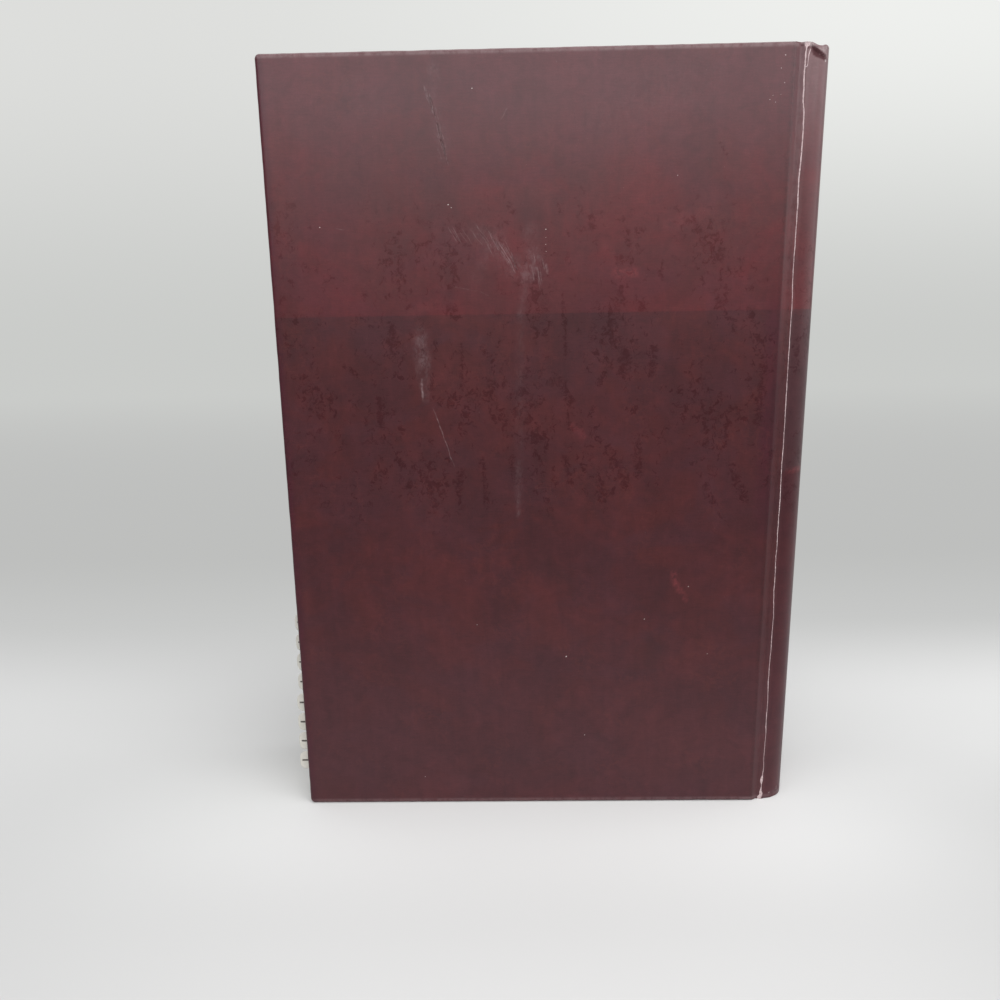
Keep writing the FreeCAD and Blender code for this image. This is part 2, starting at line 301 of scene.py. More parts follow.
# Wear on the back cover: x and z of the start and end in millimetres, half width, strength
PALE_MARKS = [
    (48.9, 230.4, 50.4, 224.6, 0.14, 0.5), (49.6, 229.2, 50.7, 224.0, 0.12, 0.45),
    (52.4, 219.6, 54.0, 211.6, 0.16, 0.55), (53.4, 215.2, 54.9, 208.8, 0.14, 0.5),
    (52.0, 217.6, 53.2, 212.8, 0.12, 0.4), (53.2, 218.0, 54.2, 213.4, 0.12, 0.35),
    (55.0, 191.6, 57.6, 187.4, 0.12, 0.3), (58.0, 191.8, 61.4, 186.6, 0.12, 0.28),
    (64.6, 189.8, 67.4, 185.4, 0.13, 0.3), (69.6, 187.6, 74.9, 178.9, 0.13, 0.5),
    (20.3, 192.0, 23.4, 191.6, 0.12, 0.3), (70.8, 188.2, 74.6, 180.2, 0.12, 0.4),
    (48.4, 230.9, 49.8, 225.6, 0.22, 0.55), (49.9, 228.7, 51.2, 222.4, 0.28, 0.6),
    (48.9, 229.0, 49.6, 226.0, 0.15, 0.4), (51.8, 220.6, 52.9, 215.6, 0.22, 0.4),
    (52.9, 216.1, 54.5, 209.9, 0.3, 0.55), (51.9, 214.0, 53.0, 210.5, 0.25, 0.25),
    (72.4, 224.2, 70.2, 221.0, 0.18, 0.35), (50.3, 227.6, 52.6, 217.0, 0.15, 0.38),
    (51.2, 226.0, 53.6, 214.6, 0.13, 0.34), (65.4, 191.6, 69.6, 184.2, 0.13, 0.45),
    (67.2, 189.4, 72.2, 180.4, 0.14, 0.45), (66.3, 190.8, 70.9, 182.2, 0.12, 0.4),
    (78.8, 181.0, 79.9, 175.4, 0.16, 0.45), (79.6, 183.6, 80.6, 178.2, 0.14, 0.4),
    (82.3, 182.6, 82.9, 178.6, 0.22, 0.4), (64.0, 189.6, 67.9, 182.8, 0.12, 0.35),
    (60.6, 191.2, 64.6, 186.0, 0.13, 0.3), (81.0, 176.6, 81.6, 172.6, 0.14, 0.35),
    (54.1, 192.0, 56.9, 187.2, 0.16, 0.35), (55.5, 192.0, 58.3, 186.5, 0.16, 0.35),
    (56.8, 191.6, 60.0, 187.0, 0.14, 0.25), (62.6, 192.4, 65.5, 188.5, 0.16, 0.3),
    (63.5, 190.1, 66.4, 186.1, 0.16, 0.3), (68.0, 188.0, 73.3, 179.3, 0.2, 0.6),
    (68.9, 188.0, 74.5, 177.8, 0.22, 0.7), (70.4, 187.1, 75.3, 178.4, 0.18, 0.5),
    (71.5, 186.5, 74.0, 181.5, 0.14, 0.35), (80.4, 180.6, 81.8, 174.3, 0.22, 0.45),
    (81.4, 180.1, 82.2, 174.8, 0.16, 0.4), (83.4, 181.0, 83.7, 177.5, 0.45, 0.55),
    (47.7, 138.5, 54.3, 118.9, 0.16, 0.6), (44.7, 147.5, 44.8, 140.2, 0.35, 0.75),
    (54.6, 174.7, 63.1, 173.1, 0.2, 0.16), (63.1, 173.1, 66.1, 171.6, 0.2, 0.16),
]
PALE_CLOUDS = [
    (44.9, 158.7, 45.2, 152.6, 2.0, 0.4), (44.6, 162.0, 44.9, 158.0, 1.2, 0.2),
    (46.4, 152.5, 45.8, 141.0, 1.2, 0.2), (43.6, 150.5, 44.6, 144.0, 0.7, 0.25),
    (79.3, 182.1, 77.0, 178.0, 2.6, 0.24), (77.5, 178.0, 75.9, 166.6, 1.1, 0.18),
    (75.8, 166.6, 74.9, 136.0, 1.1, 0.12), (74.9, 134.0, 74.6, 122.0, 1.2, 0.1),
    (74.3, 120.0, 74.2, 108.0, 0.9, 0.26), (74.2, 108.0, 74.4, 103.0, 0.35, 0.36),
    (70.0, 189.0, 62.0, 177.0, 1.6, 0.12),
    (64.0, 190.5, 73.5, 179.5, 3.0, 0.2), (78.5, 190.0, 80.5, 178.0, 2.2, 0.18),
    (50.5, 229.0, 54.0, 212.0, 1.9, 0.17),
    (51.0, 235.0, 51.8, 232.6, 1.3, 0.4), (28.0, 231.0, 33.0, 226.0, 4.0, 0.08),
    (100.0, 222.0, 130.0, 232.0, 7.0, 0.06),
]
# x, z and size
SPECKS = [
    (62.2, 229.5, 0.3), (54.5, 198.1, 0.28), (55.4, 197.2, 0.2), (83.4, 190.6, 0.26),
    (83.2, 188.4, 0.16), (83.3, 186.4, 0.18), (83.4, 184.3, 0.14), (89.7, 54.5, 0.34),
    (115.4, 67.4, 0.22), (129.5, 78.5, 0.24), (136.6, 55.0, 0.2), (96.0, 25.5, 0.26),
    (16.0, 192.3, 0.28), (151.3, 236.3, 0.32), (150.3, 233.0, 0.2), (151.5, 229.2, 0.22),
    (150.8, 226.0, 0.2), (147.6, 224.8, 0.24), (148.4, 225.9, 0.18), (149.2, 224.2, 0.2),
    (40.5, 10.2, 0.2), (122.0, 205.0, 0.16), (60.0, 66.0, 0.16),
]
# These are all of full strength
DARK_MARKS = [
    (55.2, 181.5, 56.0, 176.5, 1.6), (72.6, 197.6, 73.8, 195.4, 1.2), (53.6, 168.6, 56.0, 166.0, 2.0),
    (87.4, 197.6, 87.8, 195.0, 1.0), (88.4, 172.3, 89.4, 153.3, 0.8), (87.9, 145.3, 91.0, 138.5, 1.8),
    (89.9, 135.3, 91.2, 130.6, 1.2), (89.0, 122.0, 90.9, 113.6, 1.4), (63.7, 156.7, 67.3, 151.0, 1.0),
    (47.6, 148.6, 47.6, 141.0, 1.0), (97.0, 194.6, 96.6, 190.6, 1.5), (107.3, 190.0, 108.0, 186.0, 1.2),
    (105.0, 181.8, 109.0, 180.8, 1.6), (117.7, 181.0, 118.0, 176.0, 1.0), (127.0, 193.5, 130.5, 184.0, 0.9),
    (134.0, 213.4, 136.4, 209.6, 0.6), (107.6, 154.0, 106.9, 147.4, 2.2), (116.0, 156.0, 115.8, 147.0, 1.5),
    (101.5, 148.5, 99.5, 144.5, 1.2), (36.0, 163.5, 36.6, 156.0, 1.6), (21.0, 151.0, 24.6, 148.5, 1.2),
    (57.3, 157.0, 57.2, 143.5, 0.9), (31.0, 141.0, 31.5, 133.0, 1.5), (45.0, 116.0, 46.0, 111.0, 1.8),
    (103.0, 124.0, 108.5, 113.0, 2.4), (100.0, 117.0, 101.0, 108.0, 1.5), (112.0, 126.0, 112.6, 116.0, 1.6),
    (72.3, 122.0, 73.5, 114.0, 1.3), (63.0, 122.0, 64.0, 106.0, 1.0), (142.0, 118.0, 146.0, 108.0, 2.0),
    (150.0, 150.0, 149.0, 132.0, 1.6), (56.0, 118.0, 55.0, 108.0, 1.4), (133.5, 112.0, 136.5, 106.0, 1.5),
    (43.6, 220.6, 43.7, 220.4, 0.35), (135.0, 170.0, 141.0, 160.0, 1.0), (40.0, 190.5, 37.5, 188.0, 1.0),
]
SOFT_SHADES = [
    (117.8, 53.5, 118.4, 57.0, 4.2, 0.55), (81.5, 86.8, 90.5, 79.0, 3.2, 0.3),
    (122.0, 78.0, 140.0, 66.0, 4.0, 0.22), (24.0, 205.0, 40.0, 200.0, 6.0, 0.25),
    (50.0, 203.0, 57.0, 197.0, 3.0, 0.35), (78.0, 196.0, 84.0, 186.0, 4.5, 0.3),
    (100.0, 26.0, 108.0, 17.0, 1.4, 0.25), (62.0, 18.0, 88.0, 14.0, 7.0, 0.18),
]
RED_MARKS = [
    (104.5, 177.8, 110.0, 177.6, 1.3, 0.6), (124.6, 83.3, 125.2, 79.8, 0.9, 0.55),
    (125.2, 79.6, 128.8, 74.2, 0.75, 0.6), (91.6, 131.6, 95.0, 128.8, 1.0, 0.4),
    (50.0, 170.0, 44.0, 168.0, 1.6, 0.25), (160.4, 116.4, 166.0, 116.2, 0.8, 0.55),
    (101.0, 186.0, 104.0, 182.0, 1.6, 0.2), (119.0, 191.0, 133.0, 196.0, 1.5, 0.2),
]


def mark_strength(flat, marks, soft):
    """For points on the covering in millimetres, how strongly these marks cover them."""
    total = np.zeros(len(flat))
    for mark in marks:
        start, end = np.array(mark[:2], float), np.array(mark[2:4], float)
        width, strength = (*mark[4:], 1.0)[:2]
        along = end - start
        share = np.clip((flat - start) @ along / max(along @ along, 1e-4), 0, 1)
        gap = np.linalg.norm(flat - start - share[:, None] * along, axis=1)
        t = np.clip((width * (1 + soft) - gap) / (2 * soft * width), 0, 1)
        total += strength * t * t * (3 - 2 * t)
    return np.minimum(total, 1.0)


def store(obj, name, rows):
    """Three numbers for each point, which the print's material reads by name."""
    layer = obj.data.attributes.new(name, "FLOAT_VECTOR", "POINT")
    layer.data.foreach_set("vector", np.asarray(rows, np.float32).ravel())


def mark_covering(obj, uv, scratch=None, speck=None):
    """Stores the marks on the covering with the mesh: (dark, soft, red) and (scratch, scuff, speck)."""
    flat = np.asarray(uv, float).reshape(-1, 2)
    none = np.zeros(len(flat))
    dark, soft, red, scuff = (mark_strength(flat, marks, softness) for marks, softness in (
        (DARK_MARKS, 0.7), (SOFT_SHADES, 0.85), (RED_MARKS, 0.7), (PALE_CLOUDS, 0.8)))
    store(obj, "marks", np.stack((dark, soft, red), axis=1))
    store(obj, "wear", np.stack((none if scratch is None else scratch, scuff,
                                 none if speck is None else speck), axis=1))


SCRATCH_LIFT = 0.012


def fine_marks():
    """Scratches and specks too fine for the cover's own mesh: narrow strips that lie on it."""
    points, uv, faces, scratch, speck = [], [], [], [], []

    def strip(x0, z0, x1, z1, width, strength, out, spare):
        length = math.hypot(x1 - x0, z1 - z0)
        tx, tz = (x1 - x0) / length, (z1 - z0) / length
        count = max(6, int(length / 0.35))
        first = len(points)
        for i in range(count + 1):
            t = i / count
            taper = min(1.0, 6 * t, 6 * (1 - t))
            sway = 0.35 * wobble(x0 + t * length, z0, 3.0, 5.0) * taper
            fade = strength * taper * (0.65 + 0.7 * wobble(t * length, z0, 0.8, 3.0))
            half_width = width * (0.8 + 0.5 * wobble(t * length, x0, 1.3, 6.0))
            for across, share in ((-1.6, 0.0), (-0.6, 0.75), (0.0, 1.0), (0.6, 0.75), (1.6, 0.0)):
                off = sway + across * half_width
                x = x0 + tx * t * length - tz * off
                z = z0 + tz * t * length + tx * off
                points.append((x, panel_y(x, z, False) - SCRATCH_LIFT, z))
                uv.append((x, z))
                out.append(max(0.0, fade * share))
                spare.append(0.0)
        faces.extend(grid_faces(count + 1, 5, first))

    for mark in PALE_MARKS:
        strip(*mark, scratch, speck)
    for x, z, size in SPECKS:
        angle = x * 7.3 + z
        dx, dz = size * 0.5 * math.cos(angle), size * 0.5 * math.sin(angle)
        strip(x - dx, z - dz, x + dx, z + dz, size * 0.7, 1.6, speck, scratch)
    obj = make("back_cover_scratches", points, faces, uv, [covering])
    mark_covering(obj, uv, np.minimum(scratch, 1.0), np.minimum(speck, 1.0))
    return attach(obj, "back_cover")


# The covering's print and wear, with painted sheen, highlights and shade laid into its colour
def covering_print_and_painted_light():
    n = Nodes("covering_print_and_painted_light")
    uv = n.add("ShaderNodeUVMap")
    at = n.stretch(uv, (1000.0, 1000.0, 0.0))
    across, up, _ = n.axes(at)

    def warped(scale, reach):
        """The same place, moved about so that a pattern there gets ragged edges."""
        centred = n.vector("SUBTRACT", n.noise(at, scale, 3.0, output=1), (0.5, 0.5, 0.5))
        return n.vector("ADD", at, n.stretch(centred, (reach, reach, 0.0)))

    ragged = warped(0.42, 5.5)
    (dark, soft, red), (scratch, scuff, speck), (crease_shade, fray, dot) = (
        n.axes(n.add("ShaderNodeAttribute", output=1, attribute_name=name)) for name in ("marks", "wear", "crushed"))
    cloud = n.noise(at, 0.034, 5.0, 0.62, 0.5)
    elsewhere = n.vector("ADD", at, (300.0, 90.0, 0.0))
    hue = n.noise(elsewhere, 0.05, 5.0, 0.64, 0.7)
    third = n.streaks(elsewhere, (0.036, 0.052), 4.0, 0.62, 0.6)
    patch = n.noise(at, 0.2, 4.0, 0.66, 0.8)
    runs = n.streaks(at, (0.34, 0.045), 4.0, 0.62, 0.5)
    grain = n.streaks(at, (0.28, 1.9), 4.0, 0.65, 0.3)
    fine = n.noise(at, 2.1, 3.0, 0.7)

    # Two printed zones, with an edge that is sharp but not ruled
    edge = n.linear(n.noise(at, 0.8, 2.0), 0.5, up)
    upper = n.step(edge, 166.3, 166.75)
    warm = n.step(hue, 0.38, 0.64)
    mauve = n.step(third, 0.46, 0.62)
    low_colour = n.mix(warm, (0.0552, 0.0114, 0.0146, 1), (0.0704, 0.0127, 0.0142, 1))
    low_colour = n.over(low_colour, (0.0542, 0.0138, 0.0192), mauve, 0.55)
    foot = n.step(up, 92.0, 15.0)
    low_colour = n.over(low_colour, (0.064, 0.019, 0.0245), foot, 0.5)
    high_colour = n.mix(warm, (0.0785, 0.0142, 0.0173, 1), (0.0918, 0.0118, 0.015, 1))
    high_colour = n.over(high_colour, (0.075, 0.014, 0.0205), mauve, 0.5)
    # Painted sheen: the upper zone turns lighter toward the head
    head_sheen = n.step(up, 200.0, 234.0)
    high_colour = n.over(high_colour, (0.084, 0.022, 0.0285), head_sheen, 0.7)
    colour = n.mix(upper, low_colour, high_colour)
    # On the spine the dark zone is a panel
    spine = n.window(across, CRACK_RUN - 0.2, CRACK_RUN + 0.2,
                     TOTAL_RUN - CRACK_RUN + 0.2, TOTAL_RUN - CRACK_RUN - 0.2)
    below = n.times(spine, n.step(up, 116.6, 116.0))
    colour = n.over(colour, (0.05, 0.01, 0.015), below, 0.5)
    between = n.times(n.math("SUBTRACT", spine, below), n.math("SUBTRACT", 1.0, upper))
    colour = n.over(colour, (0.053, 0.0195, 0.0238), between, 0.75)
    # Painted sheen: the upper part of the spine turns lighter toward the head
    spine_head_sheen = n.linear(n.step(up, 206.0, 238.0), 0.9, 0.1)
    spine_head_sheen = n.times(spine_head_sheen, n.times(spine, upper))
    colour = n.over(colour, (0.148, 0.07, 0.076), spine_head_sheen, 0.85)
    shade = n.linear(cloud, 0.6, 0.7)
    for pattern, slope, offset in ((patch, 0.6, 0.7), (runs, 0.36, 0.82), (grain, 0.44, 0.78), (fine, 0.44, 0.78)):
        shade = n.times(shade, n.linear(pattern, slope, offset))
    # Along the fore-edge fold the darker, more purple colour is painted shade; beside the joint the print is darker
    # and more purple too
    fore = n.window(across, 3.4, 0.9, -4.0, 0.0)
    joint_side = n.window(across, CRACK_RUN - 10.0, CRACK_RUN - 5.5, CRACK_RUN - 1.5, CRACK_RUN - 4.5)
    joint_side = n.times(joint_side, n.window(up, 80.0, 120.0, 178.0, 160.0))
    edge_shade_and_plum = n.most(n.times(fore, 0.6), n.times(joint_side, 0.55))
    edge_shade_and_plum = n.times(edge_shade_and_plum, n.linear(patch, 1.6, 0.1, clamp=True))
    colour = n.over(colour, (0.05, 0.006, 0.015), edge_shade_and_plum)
    shading = n.add("ShaderNodeCombineXYZ", {0: shade, 1: shade, 2: shade})
    colour = n.mix(1.0, colour, shading, "MULTIPLY")

    # Blotches, thickest in the middle of the height, in clusters that run down like drips
    reach = n.window(up, 84.0, 118.0, 222.0, 182.0)
    # The hidden front cover is kept plainer
    stained = n.linear(n.step(across, HALF_RUN + 4.0, HALF_RUN - 8.0), 0.85, 0.15)
    reach = n.times(reach, stained)
    cluster = n.streaks(at, (0.07, 0.04), 3.0, 0.55)
    drip = n.streaks(ragged, (0.52, 0.34), 6.0, 0.72, 0.3)
    amount = n.linear(cluster, 0.55, drip)
    amount = n.linear(reach, 0.085, amount)
    blotch = n.times(n.step(amount, 0.912, 1.018), n.linear(reach, 0.9, 0.1))
    torn = n.linear(n.noise(ragged, 0.62, 4.0, 0.76), 3.0, -1.5)
    placed = n.step(n.math("ADD", n.times(dark, 0.72), torn), 0.4, 0.92)
    placed = n.times(placed, n.step(dark, 0.02, 0.5))
    blotch = n.most(blotch, placed)
    blotch = n.times(blotch, n.linear(fine, 0.9, 0.45, clamp=True))
    pin = n.times(n.step(n.noise(at, 1.5, 3.0, 0.6), 0.66, 0.74), n.linear(reach, 0.5, 0.12))
    blotch = n.most(blotch, pin)
    blotch_colour = n.mix(upper, (0.03, 0.004, 0.006, 1), (0.05, 0.0075, 0.0095, 1))
    colour = n.mix(n.times(blotch, 0.53), colour, blotch_colour)
    shades = n.times(soft, n.linear(patch, 1.2, 0.35))
    colour = n.over(colour, (0.026, 0.01, 0.012), shades, 0.6)
    veins = n.math("ABSOLUTE", n.math("SUBTRACT", n.noise(warped(0.12, 7.0), 0.13, 5.0, 0.62), 0.5))
    veins = n.times(n.step(veins, 0.024, 0.002), n.step(n.noise(at, 0.05, 2.0), 0.48, 0.62))
    colour = n.over(colour, (0.115, 0.025, 0.022), veins, 0.22)
    reds = n.times(red, n.step(n.noise(ragged, 0.5, 4.0, 0.65), 0.34, 0.6))
    colour = n.over(colour, (0.19, 0.033, 0.038), reds, 0.85)

    # Wear: scuffs through the print, specks, and rubbed edges, with painted highlights along the tail edge and
    # beside the crack
    broken = n.step(n.streaks(at, (1.2, 0.6), 3.0, 0.6), 0.34, 0.64)
    streaky = n.step(n.streaks(ragged, (0.8, 0.2), 3.0, 0.66), 0.36, 0.62)
    scratches = n.times(scratch, n.linear(broken, 0.6, 0.4))
    scuffs = n.times(scuff, n.linear(broken, 0.22, 0.14))
    scuffs = n.times(scuffs, n.linear(streaky, 1.6, 0.35))
    specks = n.step(n.most(speck, dot), 0.25, 0.75)
    dust = n.step(n.noise(at, 1.9, 2.0, 0.5), 0.735, 0.79)
    frayed = n.times(fray, n.step(n.noise(at, 2.6, 3.0, 0.7), 0.36, 0.58))
    rub_and_highlight = n.window(up, 238.2, 239.1, 240.9, 240.2)
    # Painted highlight along the tail edge
    rub_and_highlight = n.most(rub_and_highlight, n.times(n.window(up, 2.1, 1.2, 0.2, 0.8), 0.6))
    side = n.most(n.step(across, 0.5, -0.5), n.step(across, TOTAL_RUN - 0.5, TOTAL_RUN + 0.5))
    rub_and_highlight = n.most(rub_and_highlight, n.times(side, 0.5))
    # Beside the crack the paper is rubbed and also carries a painted highlight, stronger toward the head
    hinge = n.window(across, CRACK_RUN - 2.7, CRACK_RUN - 1.5, CRACK_RUN + 0.4, CRACK_RUN - 0.3)
    hinge = n.times(hinge, n.linear(n.step(up, 120.0, 225.0), 0.34, 0.1))
    rub_and_highlight = n.most(rub_and_highlight, hinge)
    rub_and_highlight = n.times(rub_and_highlight, n.step(n.streaks(at, (0.5, 0.3), 5.0, 0.7), 0.26, 0.6))
    # Painted shade in the joint's hollow beside the board's edge
    joint_dip_shade = n.window(across, CRACK_RUN - 5.4, CRACK_RUN - 4.2, CRACK_RUN - 2.8, CRACK_RUN - 3.8)
    joint_dip_shade = n.times(joint_dip_shade, n.linear(n.step(n.noise(at, 0.9, 4.0, 0.7), 0.42, 0.62), 0.35, 0.1))
    colour = n.over(colour, (0.026, 0.008, 0.01), joint_dip_shade)
    colour = n.over(colour, (0.38, 0.28, 0.285), scratches, 0.68)
    colour = n.over(colour, (0.2, 0.135, 0.145), scuffs)
    colour = n.over(colour, (0.23, 0.15, 0.155), rub_and_highlight, 0.48)
    colour = n.over(colour, (0.62, 0.54, 0.53), specks, 0.85)
    colour = n.over(colour, (0.26, 0.19, 0.19), dust, 0.22)
    # Painted shade under the crushed head's fold and in the hollow at the spine's tail
    colour = n.over(colour, (0.062, 0.02, 0.0235), crease_shade, 0.8)
    colour = n.over(colour, (0.43, 0.37, 0.37), frayed, 0.8)

    rough = n.linear(fine, 0.12, 0.27)
    rough = n.linear(scuffs, 0.25, rough)
    rough = n.linear(frayed, 0.4, rough)
    rough = n.linear(crease_shade, 0.4, rough)
    gloss = n.linear(blotch, -0.16, n.linear(crease_shade, -0.22, 0.42), clamp=True)
    height = n.linear(grain, 0.6, n.times(fine, 0.4))
    height = n.linear(scratches, -0.8, height)
    bump = n.bump(height, 0.35, 0.00006)
    return n.surface(Base_Color=colour, Roughness=rough, Normal=bump, Specular_IOR_Level=gloss)


def stock(name, dark, light, rough, grain, fleck=None, fleck_at=(0.7, 0.76), relief=0.00004, weave=None,
          on_sheet=False):
    """Paper, card, cloth or thread: fibres along the grain, broad toning, flecks and a fine relief."""
    n = Nodes(name)
    source = n.add("ShaderNodeUVMap") if on_sheet else n.add("ShaderNodeTexCoord", output=3)
    at = n.stretch(source, (1000.0, 1000.0, 1000.0))
    fibres = n.noise(n.stretch(at, grain), 1.0, 5.0, 0.66, 0.4)
    broad = n.noise(at, 0.05, 4.0, 0.6, 0.5)
    tone = n.linear(fibres, 0.9, n.linear(broad, 0.7, -0.3), clamp=True)
    height = fibres
    if weave:
        axes = n.axes(at)
        warp, weft = (n.math("ABSOLUTE", n.math("SINE", n.times(axes[k], weave))) for k in (1, 2))
        threads = n.most(warp, weft)
        tone = n.times(tone, n.linear(threads, 0.7, 0.35))
        height = n.linear(threads, 2.0, fibres)
    colour = n.mix(tone, (*dark, 1), (*light, 1))
    if fleck:
        spots = n.step(n.noise(at, 1.7, 3.0, 0.55), *fleck_at)
        colour = n.mix(n.times(spots, 0.5), colour, (*fleck, 1))
        height = n.linear(spots, 0.3, height)
    bump = n.bump(height, 0.5, relief)
    roughness = n.linear(fibres, 0.12, rough - 0.06)
    return n.surface(Base_Color=colour, Roughness=roughness, Normal=bump)


ENDPAPER = ((0.56, 0.535, 0.475), (0.68, 0.66, 0.605), 0.82)
FOXING = (0.4, 0.31, 0.21)
paper_core = stock("torn_paper", (0.24, 0.135, 0.145), (0.82, 0.68, 0.68), 0.9, (3.2, 1.3, 1.0), (0.09, 0.03, 0.035),
                   (0.56, 0.64), 0.00015, on_sheet=True)
endpaper = stock("endpaper", *ENDPAPER, (0.5, 1.6, 1.0), FOXING, on_sheet=True)
pasted_endpaper = stock("pasted_endpaper", *ENDPAPER, (0.5, 1.0, 1.6), FOXING)
leaf_paper = stock("leaf_edges", (0.56, 0.52, 0.44), (0.8, 0.775, 0.71), 0.9, (0.03, 6.0, 0.03), (0.42, 0.32, 0.22),
                   (0.72, 0.8), 0.00008)
tab_paper = stock("tab_paper", (0.6, 0.57, 0.5), (0.78, 0.76, 0.71), 0.65, (1.3, 1.3, 1.3), (0.45, 0.4, 0.34))
tab_mark = stock("tab_mark", (0.06, 0.05, 0.046), (0.12, 0.1, 0.09), 0.6, (2.0, 2.0, 2.0))
thread = stock("band_thread", (0.46, 0.4, 0.29), (0.7, 0.65, 0.54), 0.75, (1.0, 4.0, 2.5), relief=0.0001)
band_stripe = stock("band_stripe", (0.12, 0.01, 0.016), (0.26, 0.03, 0.04), 0.7, (1.0, 4.0, 2.5), relief=0.0001)
mull_cloth = stock("mull_cloth", (0.4, 0.36, 0.28), (0.7, 0.66, 0.58), 0.9, (1.5, 1.5, 1.5), relief=0.00015,
                   weave=3.6)
kraft = stock("kraft_lining", (0.24, 0.155, 0.085), (0.42, 0.3, 0.185), 0.85, (0.6, 0.6, 2.4), (0.16, 0.1, 0.06))
card = stock("grey_card", (0.22, 0.205, 0.185), (0.4, 0.375, 0.34), 0.9, (1.1, 1.1, 1.1), (0.1, 0.09, 0.085),
             (0.62, 0.68), 0.0001)


# The crack's path: height, and distance from the straight line between cover and spine
CRACK_PATH = [
    (240, 0.00), (236.6, -0.26), (232, -0.33), (228, -0.2), (224.5, -0.2), (221.5, 0.28), (216, 0.34), (212, 0.34),
    (208, 0.2), (204, -0.05), (196, 0.1), (184, 0.02), (176, -0.04), (168, 0.28), (160, 0.2), (150, 0.18),
    (136, 0.24), (124, 0.3), (119, 0.1), (108, 0.3), (96, 0.15), (92, 0.26), (88, 0.1), (80, 0.22), (76, 0.13),
    (68, 0.55), (60, 0.38), (56, 0.4), (50, 0.2), (44, 0.16), (36, 0.36), (30, 0.24), (24, 0.42), (16, 0.2),
    (12, 0.4), (9, 0.05), (4, -0.08), (0, -0.15),
]
# A second tear beside it at the head, as (distance past the crack line, distance below the head)
SIDE_TEAR = [(1.2, 1.8), (0.95, 2.5), (0.7, 3.35), (0.6, 4.2), (0.57, 4.9), (0.48, 5.6),
             (0.42, 6.2), (0.2, 6.5), (-0.28, 6.6)]


def crack_line(z):
    """The crack's sideways wander, and the bare paper's reach to its left and right."""
    wander = float(np.interp(z, [p[0] for p in reversed(CRACK_PATH)], [p[1] for p in reversed(CRACK_PATH)]))
    wander += 0.05 * wobble(0, z, 2.7, 8.2)
    upper = ramp(z, 175, 215)
    left = 0.1 + 0.09 * upper + 0.09 * wobble(4, z, 2.1, 1.7) + 0.1 * wobble(4, z, 0.8, 5.0)
    right = 0.09 + 0.08 * upper + 0.08 * wobble(9, z, 1.9, 2.9) + 0.09 * wobble(7, z, 0.7, 3.0)
    thin = ramp(abs(z - 21.0), 5.5, 3.5)
    left -= 0.05 * thin
    right -= 0.04 * thin
    chip = 1.0 + 0.9 * wobble(3, z, 0.7, 4.4)
    left += (0.4 * ramp(abs(z - 7.3), 1.9, 0.6) + 0.62 * ramp(z, 5.0, 1.4)) * chip
    right += (0.24 * ramp(abs(z - 7.9), 2.0, 0.6) + 0.4 * ramp(z, 4.8, 2.6)) * (2 - chip)
    head = ramp(HEIGHT - z, 1.5, 1.0)
    left += 0.4 * head + 0.3 * head * wobble(2, z, 0.8, 7.7)
    right += 0.8 * head + 0.3 * head * wobble(5, z, 0.8, 4.1)
    return wander, min(max(left, 0.07), 1.02), max(right, 0.06)


def crush_lines(c):
    """The crushed head's fold, and the far edge of the hollow below it, as distances below the head."""
    hollow = 2.5 + 1.18 * (c - 1.4) if c < 2.5 else 3.8 + 0.18 * (c - 2.5)
    return 0.05 + 0.5 * c, hollow


def crushed_head(run, z):
    """Outward push and lift of the spine covering where its head was crushed, beside the crack."""
    c = run - CRACK_RUN
    h = HEIGHT - z
    if c < -2.5 or c > 13 or h > 11:
        return 0.0, 0.0
    folded, far = crush_lines(c)
    across = ramp(c, 1.1, 2.3) * ramp(c, 7.6, 6.2)
    inside = min(max((h - folded) / max(far - folded, 0.2), 0.0), 1.0)
    push = across * (0.38 * ramp(h, folded - 1.8, folded) * ramp(h, folded + 0.22, folded))
    push -= across * 0.44 * ramp(h, folded, folded + 0.35) * (1 - inside) ** 0.8
    push += 0.12 * ramp(h, 4, 0) * ramp(abs(c - 0.8), 3.2, 0.5) * wobble(c * 4, z * 4, 1.6, 6.0)
    push += 0.05 * ramp(h, folded + 0.5, folded) * across * wobble(c * 5, z * 5, 2.2, 2.0)
    drop = -0.62 * ramp(c, 1.3, 4.0) * ramp(c, 7.2, 4.8) * ramp(h, 4.0, 0.4)
    drop += 0.25 * ramp(abs(c - 0.5), 1.8, 0.5) * ramp(h, 1.6, 0.1)
    return push, drop


def worn_tail(run, z):
    """Outward push of the covering at the spine's tail corner."""
    c = run - CRACK_RUN
    if c < 3 or c > 11 or z > 9:
        return 0.0
    bump = math.exp(-((c - 7.2) / 1.1) ** 2 - ((z - 2.6) / 1.0) ** 2)
    hollow = math.exp(-((c - 5.4) / 1.4) ** 2 - ((z - 1.2) / 1.1) ** 2)
    return 0.4 * bump - 0.36 * hollow


def ridge(x):
    """How far the cracked paper stands up along the crack."""
    return 0.26 * ramp(x, 156.1, 157.35) * ramp(x, 158.7, 157.75)


